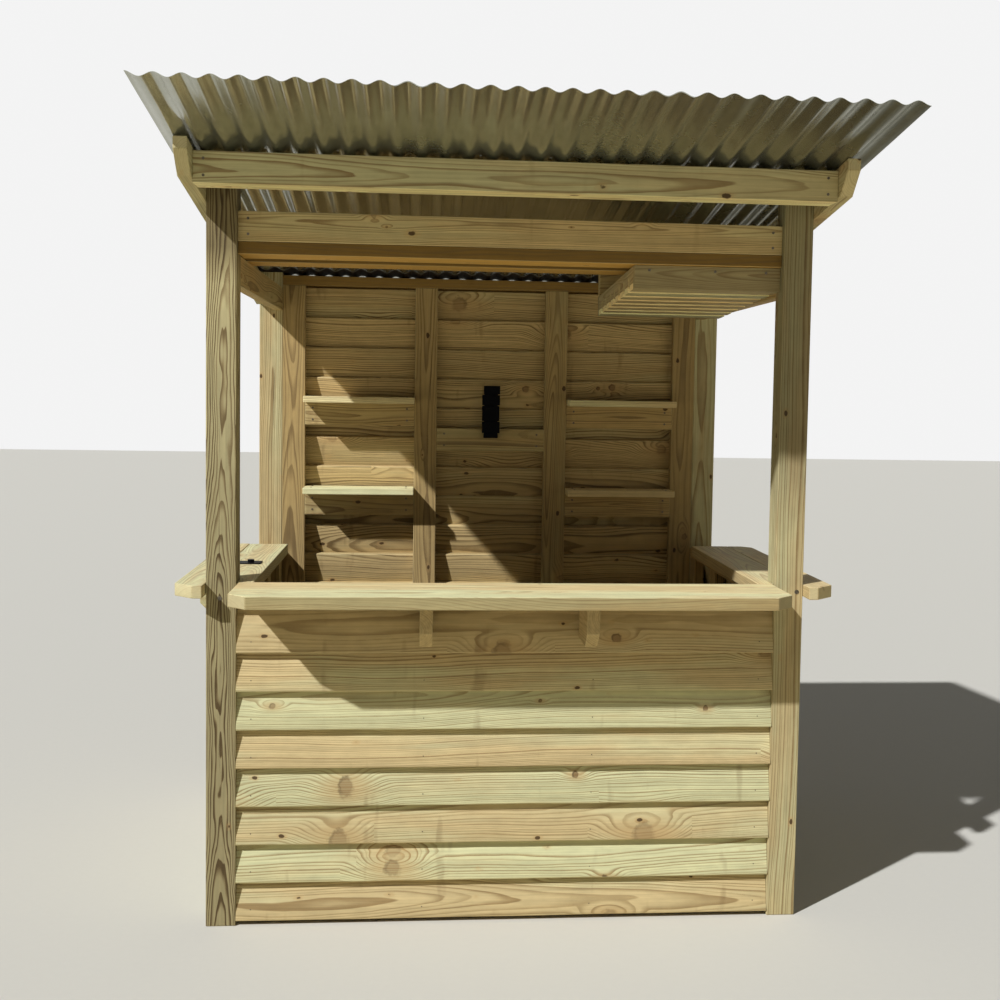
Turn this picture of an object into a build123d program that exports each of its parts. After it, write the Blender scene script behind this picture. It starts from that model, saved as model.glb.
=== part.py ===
from build123d import *
import os
from math import asin, cos, radians, sin, sqrt, tan

# An outdoor bar: four posts, a lean-to roof of corrugated sheets, low walls of lap boards on three
# sides with plank counters, a full back wall with studs and shelves, and a glass rack under the header.
# Lengths are millimetres. While it is modelled, Y = 0 is the front face of the front posts and +Y runs
# to the back wall. X = 0 is the middle and Z = 0 is the ground. At the end everything moves along Y,
# so that the origin is under the middle of the roof.

# Sawn lumber
POST = 89.0
PLY = 38.0
STUD_WIDE = 89.0
PLANK_WIDE = 140.0
BOARD_THICK = 25.0
BOARD_WIDE = 140.0

# Overall frame
BAR_WIDTH = 1829.0
BAR_DEPTH = 1372.0

# Headers, plates and top rails
HEADER_BACK = 25.0
HEADER_PLATE_Z = 2035.0
INNER_PLATE_Y = 256.0

# Roof: the sheets pass the front posts this far above the header
HEADER_CLEAR = 109.0
ROOF_PITCH = 7.7
ROOF_FRONT = 725.0
SHEET_LENGTH = 2438.0
SHEET_THICK = 1.0
LAP_GAP = 0.3
CORRUGATION = 67.0
CORRUGATION_HIGH = 12.0
SHEET_WAVES = 11
LEFT_LAP_WAVES = 1.5
RIGHT_LAP_WAVES = 2.0
RAFTER_FRONT = 310.0
RAFTER_CLIP = 65.0
RAFTER_TAIL = 110.0
EAVE_FRONT = 230.0
POST_TOP_GAP = 2.0
BACK_PLATE_GAP = 1.5

# Low walls and lap boards
COUNTER_Z = 1054.0
FRAME_Z = 20.0
BOARD_SHOW = 118.0
BOARD_GAP = 0.4
BOARD_END_GAP = 0.5
LOW_STUDS = 2

# Counters and their brackets
FRONT_COUNTER_BACK = 15.0
FRONT_COUNTER_END_GAP = 6.0
FRONT_COUNTER_CLIP = 55.0
SIDE_COUNTER_FRONT = 66.0
SIDE_COUNTER_BACK = 1012.0
SIDE_FRONT_CLIP = 60.0
SIDE_BACK_CLIP = 36.0
PLANK_JOINT = 1.0
BRACKET_HIGH = 127.0
BRACKET_CLIP = 46.0
FRONT_BRACKET_SETBACK = 66.0
SIDE_BRACKET_SETBACK = 13.0
FRONT_BRACKET_X = (-257.0, 232.0)
SIDE_BRACKET_Y = (380.0, 800.0)

# Back wall
STUD_SPACING = 520.7
MIDDLE_RAIL_Z = 1402.0
SHELF_TOPS = (1612.0, 1254.0)
SHELF_GAP = 0.5

# Glass rack
RACK_WIDTH = 456.0
RACK_LENGTH = 830.0
RACK_FRONT_Y = 40.0
RACK_TILT = 2.6
RACK_HIGH = 72.0
RACK_BOARD = 25.0
RACK_GAP = 0.3
SLAT_THICK = 19.0
SLAT_WIDE = 64.0
SLAT_COUNT = 8
NOTCH_HIGH = 26.0
CUT_PAST = 1.0

# Black strip on the back wall: sections from the bottom up, each with its height and how far its
# left and right sides are set in
STRIP_WIDE = 70.0
STRIP_DEEP = 25.0
STRIP_Z = 1455.0
STRIP_GROOVE = 3.0
STRIP_CORE_INSET = 8.0
STRIP_SECTIONS = ((20.0, 6.0, 7.0), (48.0, 0.0, 0.0), (63.0, 0.0, 2.0), (44.0, 0.0, 0.0), (36.0, 6.0, 0.0))

# Black strap with a knob on the left counter
STRAP_INNER_X = 805.0
STRAP_LONG = 100.0
STRAP_Y = 425.0
STRAP_WIDE = 65.0
STRAP_THICK = 3.0
KNOB_X = 840.0
KNOB_RADIUS = 11.0
KNOB_HIGH = 9.0

# Worked out from the sizes above
half_width = BAR_WIDTH / 2
post_inner = half_width - POST
back_inner = BAR_DEPTH - POST
stud_face = POST - PLY
counter_under = COUNTER_Z - PLY
plate_under = counter_under - PLY
header_z0 = HEADER_PLATE_Z + PLY
header_top = header_z0 + STUD_WIDE
pitch_angle = radians(ROOF_PITCH)
slope = tan(pitch_angle)
sheet_wide = SHEET_WAVES * CORRUGATION
left_lap = LEFT_LAP_WAVES * CORRUGATION
right_lap = RIGHT_LAP_WAVES * CORRUGATION
roof_half = (3 * sheet_wide - left_lap - right_lap) / 2
centre_y = SHEET_LENGTH * cos(pitch_angle) / 2 - ROOF_FRONT
board_tilt = asin((BOARD_THICK + BOARD_GAP) / BOARD_SHOW)

nodes = {}


def add(name, *shapes):
    """Keep a node: one solid, or several that stay apart."""
    placed = [Pos(0, -centre_y, 0) * shape for shape in shapes]
    nodes[name] = placed[0] if len(placed) == 1 else Compound(children=placed)


def block(x0, x1, y0, y1, z0, z1):
    """A square-cut length of lumber between two corners."""
    return Pos(x0, y0, z0) * Box(x1 - x0, y1 - y0, z1 - z0, align=(Align.MIN, Align.MIN, Align.MIN))


def side_cut(points, x0, x1):
    """A piece with its outline in the YZ plane, from x0 to x1."""
    outline = Polyline(*[(x0, y, z) for y, z in points], close=True)
    return extrude(make_face(outline), amount=x1 - x0, dir=(1, 0, 0))


def plan_cut(points, z0, z1):
    """A piece with its outline seen from above, from z0 to z1."""
    outline = Polyline(*[(x, y, z0) for x, y in points], close=True)
    return extrude(make_face(outline), amount=z1 - z0, dir=(0, 0, 1))


def mirrored(shape):
    """The same piece on the left side."""
    return mirror(shape, about=Plane.YZ)


def roof_z(y):
    """Height of the lowest line of the corrugations at depth y."""
    return header_top + HEADER_CLEAR - slope * y


def post(y0):
    """A post whose top follows the roof."""
    y1 = y0 + POST
    top = [(y1, roof_z(y1) - POST_TOP_GAP), (y0, roof_z(y0) - POST_TOP_GAP)]
    return side_cut([(y0, 0), (y1, 0)] + top, post_inner, half_width)


def rafter():
    """A rafter on the outer faces of the posts, its front end plumb with a clipped corner below."""
    high = STUD_WIDE / cos(pitch_angle)
    front = -RAFTER_FRONT
    tail = BAR_DEPTH + RAFTER_TAIL
    foot = front + RAFTER_CLIP
    foot_z = roof_z(foot) - high
    points = [(front, roof_z(front)), (tail, roof_z(tail)), (tail, roof_z(tail) - high)]
    points += [(foot, foot_z), (front, foot_z + RAFTER_CLIP)]
    return side_cut(points, half_width, half_width + PLY)


def wave_arcs(x, z, first):
    """One line of corrugations, of arcs that meet where they turn the other way. Its ends are in
    valleys where first is 1, and on crests where first is -1."""
    half_high = CORRUGATION_HIGH / 2
    half_wave = CORRUGATION / 2
    quarter = half_wave / 2
    radius = (quarter**2 + half_high**2) / CORRUGATION_HIGH
    part = asin(quarter / radius) / 2
    dx = radius * sin(part)
    middle = z + half_high
    edge = middle - first * half_high
    near_edge = edge + first * radius * (1 - cos(part))
    end = x + sheet_wide
    arcs = [ThreePointArc((x, 0, edge), (x + dx, 0, near_edge), (x + quarter, 0, middle))]
    turn = first
    left = x + quarter
    while left < end - half_wave:
        top = (left + quarter, 0, middle + turn * half_high)
        arcs.append(ThreePointArc((left, 0, middle), top, (left + half_wave, 0, middle)))
        turn = -turn
        left += half_wave
    arcs.append(ThreePointArc((left, 0, middle), (end - dx, 0, near_edge), (end, 0, edge)))
    return arcs


def roof_sheet(x0, lift, first):
    """A corrugated sheet from its left edge, raised by lift where it laps over another."""
    above = lift + SHEET_THICK
    rise = 0 if first > 0 else CORRUGATION_HIGH
    ends = [Line((x, 0, lift + rise), (x, 0, above + rise)) for x in (x0, x0 + sheet_wide)]
    profile = make_face(wave_arcs(x0, lift, first) + wave_arcs(x0, above, first) + ends)
    along = (0, cos(pitch_angle), -sin(pitch_angle))
    return Pos(0, -ROOF_FRONT, roof_z(-ROOF_FRONT)) * extrude(profile, amount=SHEET_LENGTH, dir=along)


def lap_boards(length, top):
    """Lap boards outside a stud face at local Y = 0, outwards along -Y: their heads are under top,
    and there are as many as fit above the ground."""
    drop = BOARD_THICK * sin(board_tilt) + BOARD_GAP
    count = int((top - drop - BOARD_WIDE * cos(board_tilt)) / BOARD_SHOW) + 1
    half = length / 2 - BOARD_END_GAP
    outline = [(0, 0), (-BOARD_WIDE * sin(board_tilt), -BOARD_WIDE * cos(board_tilt))]
    out_y = -BOARD_THICK * cos(board_tilt)
    out_z = BOARD_THICK * sin(board_tilt)
    outline += [(y + out_y, z + out_z) for y, z in reversed(outline)]
    board = side_cut(outline, -half, half)
    return [Pos(0, 0, top - drop - i * BOARD_SHOW) * board for i in range(count)]


def wall(name, place, length, plate_z, stud_centres):
    """A framed wall: flat top plate, bottom rail, studs laid flat and lap boards outside them."""
    half = length / 2
    rail_top = FRAME_Z + STUD_WIDE
    studs = [block(x - STUD_WIDE / 2, x + STUD_WIDE / 2, 0, PLY, rail_top, plate_z) for x in stud_centres]
    add(f"{name}_plate", place * block(-half, half, -stud_face, PLY, plate_z, plate_z + PLY))
    add(f"{name}_bottom_rail", place * block(-half, half, 0, PLY, FRAME_Z, rail_top))
    add(f"{name}_studs", *[place * stud for stud in studs])
    add(f"{name}_boards", *[place * board for board in lap_boards(length, plate_z)])


def low_stud_centres(length):
    """Studs of a low wall: one against each post, and the others spaced evenly between them."""
    reach = (length - STUD_WIDE) / 2
    steps = LOW_STUDS + 1
    return [reach * (2 * i / steps - 1) for i in range(steps + 1)]


def bracket(reach):
    """A counter bracket in the YZ plane: its back at Y = 0, its clipped nose at -reach."""
    low = counter_under - BRACKET_HIGH
    points = [(0, counter_under), (-reach, counter_under), (-reach, low + BRACKET_CLIP)]
    points += [(BRACKET_CLIP - reach, low), (0, low)]
    return side_cut(points, -PLY / 2, PLY / 2)


# Posts and rafters
for place, y0 in (("front", 0.0), ("back", back_inner)):
    add(f"post_{place}_right", post(y0))
    add(f"post_{place}_left", mirrored(post(y0)))
add("rafter_right", rafter())
add("rafter_left", mirrored(rafter()))

# Eave beams between the rafters, under the sheets
eave_y0 = -EAVE_FRONT
eave_y1 = eave_y0 + POST
eave_z1 = roof_z(eave_y1)
rear_y1 = BAR_DEPTH + PLY
rear_z1 = roof_z(rear_y1)
add("eave_beam_front", block(-half_width, half_width, eave_y0, eave_y1, eave_z1 - POST, eave_z1))
add("eave_beam_rear", block(-half_width, half_width, BAR_DEPTH, rear_y1, rear_z1 - STUD_WIDE, rear_z1))

# Headers and plates across the front, and top rails along the sides
plate_y1 = HEADER_BACK + PLANK_WIDE
inner_y1 = INNER_PLATE_Y + PLANK_WIDE
rail_x1 = post_inner + PLY
rail_z0 = HEADER_PLATE_Z - STUD_WIDE
top_rail = block(post_inner, rail_x1, POST, back_inner, rail_z0, HEADER_PLATE_Z)
add("header", block(-post_inner, post_inner, HEADER_BACK, HEADER_BACK + PLY, header_z0, header_top))
add("header_plate", block(-post_inner, post_inner, HEADER_BACK, plate_y1, HEADER_PLATE_Z, header_z0))
add("inner_plate", block(-rail_x1, rail_x1, INNER_PLATE_Y, inner_y1, HEADER_PLATE_Z, header_z0))
add("top_rail_right", top_rail)
add("top_rail_left", mirrored(top_rail))

# Roof sheets: the middle one lies under the edges of the other two. The left one starts on a crest
lap_lift = SHEET_THICK + LAP_GAP
middle_x0 = sheet_wide - left_lap - roof_half
add("roof_sheet_left", roof_sheet(-roof_half, lap_lift, -1))
add("roof_sheet_middle", roof_sheet(middle_x0, 0, 1))
add("roof_sheet_right", roof_sheet(roof_half - sheet_wide, lap_lift, 1))

# Walls: the side walls are the front one turned outwards, and the back one rises to its own plate,
# just under the sheets at its outer edge
across = 2 * post_inner
along = back_inner - POST
side_x = half_width - stud_face
back_plate_z = roof_z(BAR_DEPTH) - BACK_PLATE_GAP - PLY
corner_stud = post_inner - STUD_WIDE / 2
stud_row = [-corner_stud, -STUD_SPACING / 2, STUD_SPACING / 2, corner_stud]
front_place = Pos(0, stud_face, 0)
back_place = Pos(0, BAR_DEPTH - stud_face, 0) * Rot(0, 0, 180)
left_place = Pos(-side_x, BAR_DEPTH / 2, 0) * Rot(0, 0, -90)
right_place = Pos(side_x, BAR_DEPTH / 2, 0) * Rot(0, 0, 90)
wall("front_wall", front_place, across, plate_under, low_stud_centres(across))
wall("left_wall", left_place, along, plate_under, low_stud_centres(along))
wall("right_wall", right_place, along, plate_under, low_stud_centres(along))
wall("back_wall", back_place, across, back_plate_z, stud_row)

# Front counter: two planks, the outer one with clipped front corners
counter_half = post_inner - FRONT_COUNTER_END_GAP
seam_y = FRONT_COUNTER_BACK - PLANK_WIDE
nose_y = seam_y - PLANK_JOINT - PLANK_WIDE
clip_x = counter_half - FRONT_COUNTER_CLIP
clip_y = nose_y + FRONT_COUNTER_CLIP
front_plank = [(-counter_half, seam_y - PLANK_JOINT), (-counter_half, clip_y), (-clip_x, nose_y)]
front_plank += [(clip_x, nose_y), (counter_half, clip_y), (counter_half, seam_y - PLANK_JOINT)]
add("front_counter",
    block(-counter_half, counter_half, seam_y, FRONT_COUNTER_BACK, counter_under, COUNTER_Z),
    plan_cut(front_plank, counter_under, COUNTER_Z))

# Side counters: an inner plank notched round the front post, and an outer one clipped at both ends
inner_x = half_width - PLANK_WIDE
inner_y0 = FRONT_COUNTER_BACK + PLANK_JOINT
notch_x = post_inner - PLANK_JOINT
notch_y = POST + PLANK_JOINT
outer_x0 = half_width + PLANK_JOINT
outer_x1 = outer_x0 + STUD_WIDE
side_y0 = -SIDE_COUNTER_FRONT
inner_plank = [(inner_x, inner_y0), (notch_x, inner_y0), (notch_x, notch_y), (half_width, notch_y)]
inner_plank += [(half_width, SIDE_COUNTER_BACK), (inner_x, SIDE_COUNTER_BACK)]
outer_plank = [(outer_x0, side_y0), (outer_x1 - SIDE_FRONT_CLIP, side_y0)]
outer_plank += [(outer_x1, side_y0 + SIDE_FRONT_CLIP), (outer_x1, SIDE_COUNTER_BACK - SIDE_BACK_CLIP)]
outer_plank += [(outer_x1 - SIDE_BACK_CLIP, SIDE_COUNTER_BACK), (outer_x0, SIDE_COUNTER_BACK)]
side_planks = [plan_cut(points, counter_under, COUNTER_Z) for points in (inner_plank, outer_plank)]
add("right_counter", *side_planks)
add("left_counter", *[mirrored(plank) for plank in side_planks])

# Brackets under the counters
front_reach = -nose_y - FRONT_BRACKET_SETBACK
side_reach = outer_x1 - half_width - SIDE_BRACKET_SETBACK
side_brackets = [Pos(half_width, y, 0) * Rot(0, 0, 90) * bracket(side_reach) for y in SIDE_BRACKET_Y]
add("front_brackets", *[Pos(x, 0, 0) * bracket(front_reach) for x in FRONT_BRACKET_X])
add("right_brackets", *side_brackets)
add("left_brackets", *[mirrored(piece) for piece in side_brackets])

# Middle rail of the back wall, and a shelf on a ledger twice in each outer bay
bay_x0 = STUD_SPACING / 2 + STUD_WIDE / 2
bay_x1 = post_inner - STUD_WIDE
back_stud_y1 = back_inner + PLY
shelf_y0 = back_stud_y1 - PLANK_WIDE
rail_half = STUD_SPACING / 2 - STUD_WIDE / 2
rail_top = MIDDLE_RAIL_Z + STUD_WIDE
add("middle_rail", block(-rail_half, rail_half, back_inner, back_stud_y1, MIDDLE_RAIL_Z, rail_top))
shelves, ledgers = [], []
for top in SHELF_TOPS:
    under = top - BOARD_THICK
    shelves.append(block(bay_x0 + SHELF_GAP, bay_x1 - SHELF_GAP, shelf_y0, back_stud_y1, under, top))
    ledgers.append(block(bay_x0, bay_x1, back_inner, back_stud_y1, under - STUD_WIDE, under))
add("shelves_right", *shelves)
add("shelves_left", *[mirrored(shelf) for shelf in shelves])
add("ledgers_right", *ledgers)
add("ledgers_left", *[mirrored(ledger) for ledger in ledgers])

# Glass rack: a shallow tray of boards with slats under it. Glasses slide in through the left board's
# notches, and their stems hang in the gaps. It is drawn level, with its front top left corner at the
# origin, and hangs tilted down to the back
rack_x0 = post_inner - RACK_GAP - RACK_WIDTH
rack_place = Pos(rack_x0, RACK_FRONT_Y, HEADER_PLATE_Z - RACK_GAP) * Rot(-RACK_TILT, 0, 0)
slat_top = SLAT_THICK - RACK_HIGH
slat_run = RACK_LENGTH - 2 * RACK_BOARD - 2 * RACK_GAP
slat_step = (slat_run - SLAT_WIDE) / (SLAT_COUNT - 1)
slat_starts = [RACK_BOARD + RACK_GAP + i * slat_step for i in range(SLAT_COUNT)]
slats = [block(0, RACK_WIDTH, y, y + SLAT_WIDE, -RACK_HIGH, slat_top) for y in slat_starts]
cross_board = block(0, RACK_WIDTH, 0, RACK_BOARD, -RACK_HIGH, 0)
side_board = block(0, RACK_BOARD, RACK_BOARD, RACK_LENGTH - RACK_BOARD, slat_top, 0)

# Each notch has upright sides as far apart as the slats, and a round top
notch_radius = (slat_step - SLAT_WIDE) / 2
notch_spring = slat_top + NOTCH_HIGH - notch_radius
notch_x1 = RACK_BOARD + CUT_PAST
bore = Cylinder(notch_radius, notch_x1 + CUT_PAST, rotation=(0, 90, 0))
notched_board = side_board
for start in slat_starts[:-1]:
    y0 = start + SLAT_WIDE
    y1 = start + slat_step
    notched_board -= block(-CUT_PAST, notch_x1, y0, y1, slat_top - CUT_PAST, notch_spring)
    notched_board -= Pos(RACK_BOARD / 2, y0 + notch_radius, notch_spring) * bore
add("rack_front_board", rack_place * cross_board)
add("rack_back_board", rack_place * Pos(0, RACK_LENGTH - RACK_BOARD, 0) * cross_board)
add("rack_left_board", rack_place * notched_board)
add("rack_right_board", rack_place * Pos(RACK_WIDTH - RACK_BOARD, 0, 0) * side_board)
add("rack_slats", *[rack_place * slat for slat in slats])

# Hanger across the back of the rack, from the right top rail
rack_angle = radians(RACK_TILT)
hanger_x0 = post_inner - RACK_WIDTH
hanger_y1 = RACK_FRONT_Y + RACK_LENGTH * cos(rack_angle)
hanger_y0 = hanger_y1 - PLY
hanger_z0 = HEADER_PLATE_Z - (hanger_y0 - RACK_FRONT_Y) * tan(rack_angle)
add("rack_hanger", block(hanger_x0, post_inner, hanger_y0, hanger_y1, hanger_z0, hanger_z0 + STUD_WIDE))

# Black strip on the middle rail: sections with grooves between them, on a slimmer core
strip_high = sum(high for high, _, _ in STRIP_SECTIONS) - STRIP_GROOVE
strip_front = back_inner - STRIP_DEEP
core_half = STRIP_WIDE / 2 - STRIP_CORE_INSET
strip = block(-core_half, core_half, strip_front + STRIP_GROOVE, back_inner, STRIP_Z, STRIP_Z + strip_high)
section_z = STRIP_Z
for high, left_inset, right_inset in STRIP_SECTIONS:
    x0 = left_inset - STRIP_WIDE / 2
    x1 = STRIP_WIDE / 2 - right_inset
    z1 = section_z + high - STRIP_GROOVE
    strip += block(x0, x1, strip_front, back_inner, section_z, z1)
    section_z += high
add("wall_strip", strip)

# Black strap across the left counter's inner plank, with a low knob
strap_x0 = -STRAP_INNER_X - STRAP_LONG
strap_top = COUNTER_Z + STRAP_THICK
strap = block(strap_x0, -STRAP_INNER_X, STRAP_Y, STRAP_Y + STRAP_WIDE, COUNTER_Z, strap_top)
knob = Cylinder(KNOB_RADIUS, KNOB_HIGH, align=(Align.CENTER, Align.CENTER, Align.MIN))
strap += Pos(-KNOB_X, STRAP_Y + STRAP_WIDE / 2, strap_top) * knob
add("counter_strap", strap)

os.makedirs("parts", exist_ok=True)
for name, shape in nodes.items():
    export_step(shape, f"parts/{name}.step")
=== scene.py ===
"""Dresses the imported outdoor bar: treated pine lumber, lap boards, a corrugated roof and small fittings.

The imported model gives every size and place. Each operator makes one piece or one group of like
pieces, and main() calls them in order.
"""
import math
import random

import bmesh
import bpy
import numpy
from bpy.props import FloatProperty, FloatVectorProperty, IntProperty, PointerProperty
from mathutils import Matrix, Vector, noise


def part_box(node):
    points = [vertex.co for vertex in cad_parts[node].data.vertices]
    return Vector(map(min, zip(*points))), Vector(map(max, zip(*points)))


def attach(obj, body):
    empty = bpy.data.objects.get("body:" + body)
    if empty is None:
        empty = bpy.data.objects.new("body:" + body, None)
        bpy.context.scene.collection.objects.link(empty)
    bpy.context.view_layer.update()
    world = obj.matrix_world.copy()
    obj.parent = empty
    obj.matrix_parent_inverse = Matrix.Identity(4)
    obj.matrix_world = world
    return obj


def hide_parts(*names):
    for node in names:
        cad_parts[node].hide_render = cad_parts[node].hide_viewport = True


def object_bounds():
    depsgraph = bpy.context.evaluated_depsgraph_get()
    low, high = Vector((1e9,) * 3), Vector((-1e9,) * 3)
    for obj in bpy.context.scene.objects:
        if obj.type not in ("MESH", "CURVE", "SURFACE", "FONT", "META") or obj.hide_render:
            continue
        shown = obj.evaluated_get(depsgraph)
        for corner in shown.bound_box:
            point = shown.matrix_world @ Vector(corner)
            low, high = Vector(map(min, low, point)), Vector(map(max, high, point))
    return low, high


bl_info = {
    "name": "Outdoor Bar",
    "version": (1, 0, 0),
    "blender": (4, 5, 0),
    "location": "View3D > Sidebar > Bar",
    "description": "Timber, roof and fittings of an outdoor bar, built round its packed CAD model",
    "category": "Object",
}

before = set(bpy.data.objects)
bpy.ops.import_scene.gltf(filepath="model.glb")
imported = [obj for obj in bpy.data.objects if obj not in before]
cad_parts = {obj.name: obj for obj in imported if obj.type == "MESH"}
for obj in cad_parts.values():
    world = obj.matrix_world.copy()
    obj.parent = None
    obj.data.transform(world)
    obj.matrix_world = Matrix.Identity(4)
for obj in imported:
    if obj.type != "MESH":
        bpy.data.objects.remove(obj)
cad_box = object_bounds()
BODY = "root"

# Directions in the row frame: X to the right, Y to the back wall, Z up
RIGHT, BACK, UP = Vector((1, 0, 0)), Vector((0, 1, 0)), Vector((0, 0, 1))
QUARTER_TURN = math.pi / 2
FULL_TURN = math.pi * 2
# Points nearer than MERGE are one, and faces that turn by less than FLAT are one
MERGE = 1e-5
FLAT = math.radians(0.5)
# Each length of timber comes from a place of its own, up to this far along the tree
LONG_SHIFT = 20.0


def length(name, description, default, least=0.0):
    """A length property, in metres."""
    return FloatProperty(name=name, description=description, default=default, min=least, unit="LENGTH")


def slope(name, description, degrees):
    """An angle property."""
    return FloatProperty(name=name, description=description, default=math.radians(degrees), subtype="ANGLE")


def colour(name, description, *value):
    """A colour property, as linear light."""
    return FloatVectorProperty(name=name, description=description, default=value, size=3,
                               min=0.0, max=1.0, subtype="COLOR")


class BarSizes(bpy.types.PropertyGroup):
    """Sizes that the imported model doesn't give: edges, small waves and fasteners."""

    edge_ease: length("Eased edge", "How far the edges of sawn lumber are eased", 0.0024)
    fine_ease: length("Fine edge", "How far the edges of the rack's boards and of the black strip are eased",
                      0.0012)
    board_round: length("Board edge radius", "Radius of the edges of lap boards", 0.004)
    board_thick: length("Board thickness", "Thickness of a lap board", 0.025)
    board_wide: length("Board width", "Width of a lap board", 0.14)
    slat_thick: length("Slat thickness", "Thickness of a slat of the glass rack", 0.019)
    slat_wide: length("Slat width", "Width of a slat of the glass rack", 0.064)
    slat_round: length("Slat edge radius", "Radius of the edges of the rack's slats", 0.0015)
    slat_wave: length("Slat wave", "Unevenness of the edges of the rack's slats", 0.0008)
    strap_ease: length("Strap edge", "How far the edges of the black strap are eased", 0.0007)
    bow: length("Bow", "How far a length of lumber bends out of true", 0.0011)
    board_wave: length("Board wave", "Unevenness of the edges of lap boards", 0.0034)
    slice_long: length("Slice length", "Length of lumber between two slices that bend", 0.11, 0.02)
    sheet_thick: length("Sheet thickness", "Thickness of a roof sheet with its coating", 0.001)
    wave_high: length("Corrugation height", "Depth of the corrugations", 0.012)
    sheet_waves: IntProperty(name="Corrugations", description="Corrugations in one roof sheet", default=11)
    sheet_dent: length("Sheet dents", "How far the roof sheets are out of true", 0.003)
    roof_fall: slope("Roof fall", "Slope of the roof down to the back", 7.7)
    rack_fall: slope("Rack fall", "Slope of the glass rack down to the back", 2.6)
    screw_radius: length("Screw head radius", "Radius of a deck screw's head", 0.0040)
    nail_radius: length("Nail head radius", "Radius of a siding nail's head", 0.0017)
    lag_radius: length("Lag screw radius", "Radius of the heads of the screws in the posts", 0.007)
    bolt_radius: length("Roofing screw radius", "Radius of a roofing screw's washer", 0.0085)


class BarLooks(bpy.types.PropertyGroup):
    """Colours of the timber, the metal, the fittings and the stage."""

    green_pine: colour("Green pine", "Fresh treated pine where the treatment shows", 0.61, 0.62, 0.39)
    peach_pine: colour("Peach pine", "Fresh treated pine where the wood shows", 0.60, 0.49, 0.277)
    late_wood: colour("Late wood", "Dark line of each growth ring", 0.33, 0.22, 0.095)
    heartwood: colour("Heartwood", "Brown wood near the heart of the tree", 0.42, 0.255, 0.065)
    weathered: colour("Weathered pine", "Pine that has stood in the rain", 0.28, 0.215, 0.11)
    knot: colour("Knot", "Heart of a knot", 0.145, 0.077, 0.030)
    halo: colour("Knot halo", "Warm wood round a knot", 0.50, 0.33, 0.15)
    # The knot rim colour is also the colour of the painted shade under the roof sheets over the back plate
    bark: colour("Knot rim", "Dark ring round a knot, and checks", 0.06, 0.032, 0.013)
    cut_pine: colour("Cut end", "End grain that was cut on site", 0.66, 0.60, 0.38)
    zinc: colour("Zinc", "Galvanised steel", 0.55, 0.57, 0.53)
    zinc_film: colour("Zinc film", "Warm film on galvanised steel", 0.33, 0.335, 0.25)
    black: colour("Black", "Black fittings", 0.003, 0.003, 0.0035)
    dust: colour("Dust", "Dust on black fittings", 0.02, 0.018, 0.016)
    steel: colour("Fastener", "Coated deck screws", 0.10, 0.085, 0.06)
    worn_steel: colour("Worn fastener", "Deck screws where the coating has worn", 0.24, 0.20, 0.15)
    bright: colour("Bright steel", "Bright steel of roofing screws", 0.62, 0.62, 0.60)
    scuffed: colour("Scuffed steel", "Roofing screws where they are scuffed", 0.78, 0.78, 0.77)
    floor: colour("Floor", "Pale floor", 0.68, 0.68, 0.655)
    floor_speck: colour("Floor speckle", "Speckle of the floor", 0.5, 0.5, 0.49)
    bounce: colour("Bounce", "Warm tone of the light that comes up from the floor", 0.66, 0.58, 0.385)


def sizes():
    return bpy.context.scene.bar_sizes


def looks():
    return bpy.context.scene.bar_looks


# Nodes, for materials and for geometry

class Wire:
    """The output of a node. Arithmetic on it adds the math node that works it out."""

    def __init__(self, socket):
        self.socket, self.tree = socket, socket.id_data

    def __add__(self, other):
        return calc("ADD", self, other)

    def __sub__(self, other):
        return calc("SUBTRACT", self, other)

    def __rsub__(self, other):
        return calc("SUBTRACT", other, self)

    def __mul__(self, other):
        return calc("MULTIPLY", self, other)

    def __truediv__(self, other):
        return calc("DIVIDE", self, other)

    def times(self, factor, plus):
        """This value times a factor, plus another value."""
        return calc("MULTIPLY_ADD", self, factor, plus)


def feed(node, inputs):
    """Sets or links a node's inputs, given by order or by name."""
    for key, value in inputs.items() if isinstance(inputs, dict) else enumerate(inputs):
        if isinstance(value, Wire):
            value.tree.links.new(value.socket, node.inputs[key])
        elif value is not None:
            node.inputs[key].default_value = value


def put(tree, kind, inputs=(), output=0, **settings):
    """Adds a node, and returns one of its outputs."""
    node = tree.nodes.new(kind)
    for key, value in settings.items():
        setattr(node, key, value)
    feed(node, inputs)
    return Wire(node.outputs[output]) if node.outputs else None


def tree_of(*values):
    """The tree that the wires among some values belong to."""
    return next(value.tree for value in values if isinstance(value, Wire))


def calc(operation, *values):
    """One step of arithmetic."""
    return put(tree_of(*values), "ShaderNodeMath", values, operation=operation)


def vector_calc(operation, *values, output=0):
    """One step of arithmetic on vectors."""
    return put(tree_of(*values), "ShaderNodeVectorMath", values, output, operation=operation)


def size_of(vector):
    return vector_calc("LENGTH", vector, output="Value")


def xyz(x=0.0, y=0.0, z=0.0):
    return put(tree_of(x, y, z), "ShaderNodeCombineXYZ", (x, y, z))


def split(vector):
    """The three parts of a vector or a colour."""
    first = put(vector.tree, "ShaderNodeSeparateXYZ", (vector,))
    return [Wire(socket) for socket in first.socket.node.outputs]


def rise(value, low, high, start=0.0, end=1.0):
    """A smooth step from start to end, as value goes from low to high."""
    return put(value.tree, "ShaderNodeMapRange", (value, low, high, start, end), interpolation_type="SMOOTHSTEP")


def cloud(vector, scale=1.0, detail=2.0, rough=0.5, output=0):
    """Noise from 0 to 1 in three dimensions."""
    inputs = {"Vector": vector, "Scale": scale, "Detail": detail, "Roughness": rough}
    return put(vector.tree, "ShaderNodeTexNoise", inputs, output)


def stretched(vector, along, across, detail, rough=0.5):
    """Noise with one scale along the first axis and another across it."""
    return cloud(vector_calc("MULTIPLY", vector, (along, across, across)), 1.0, detail, rough)


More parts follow.
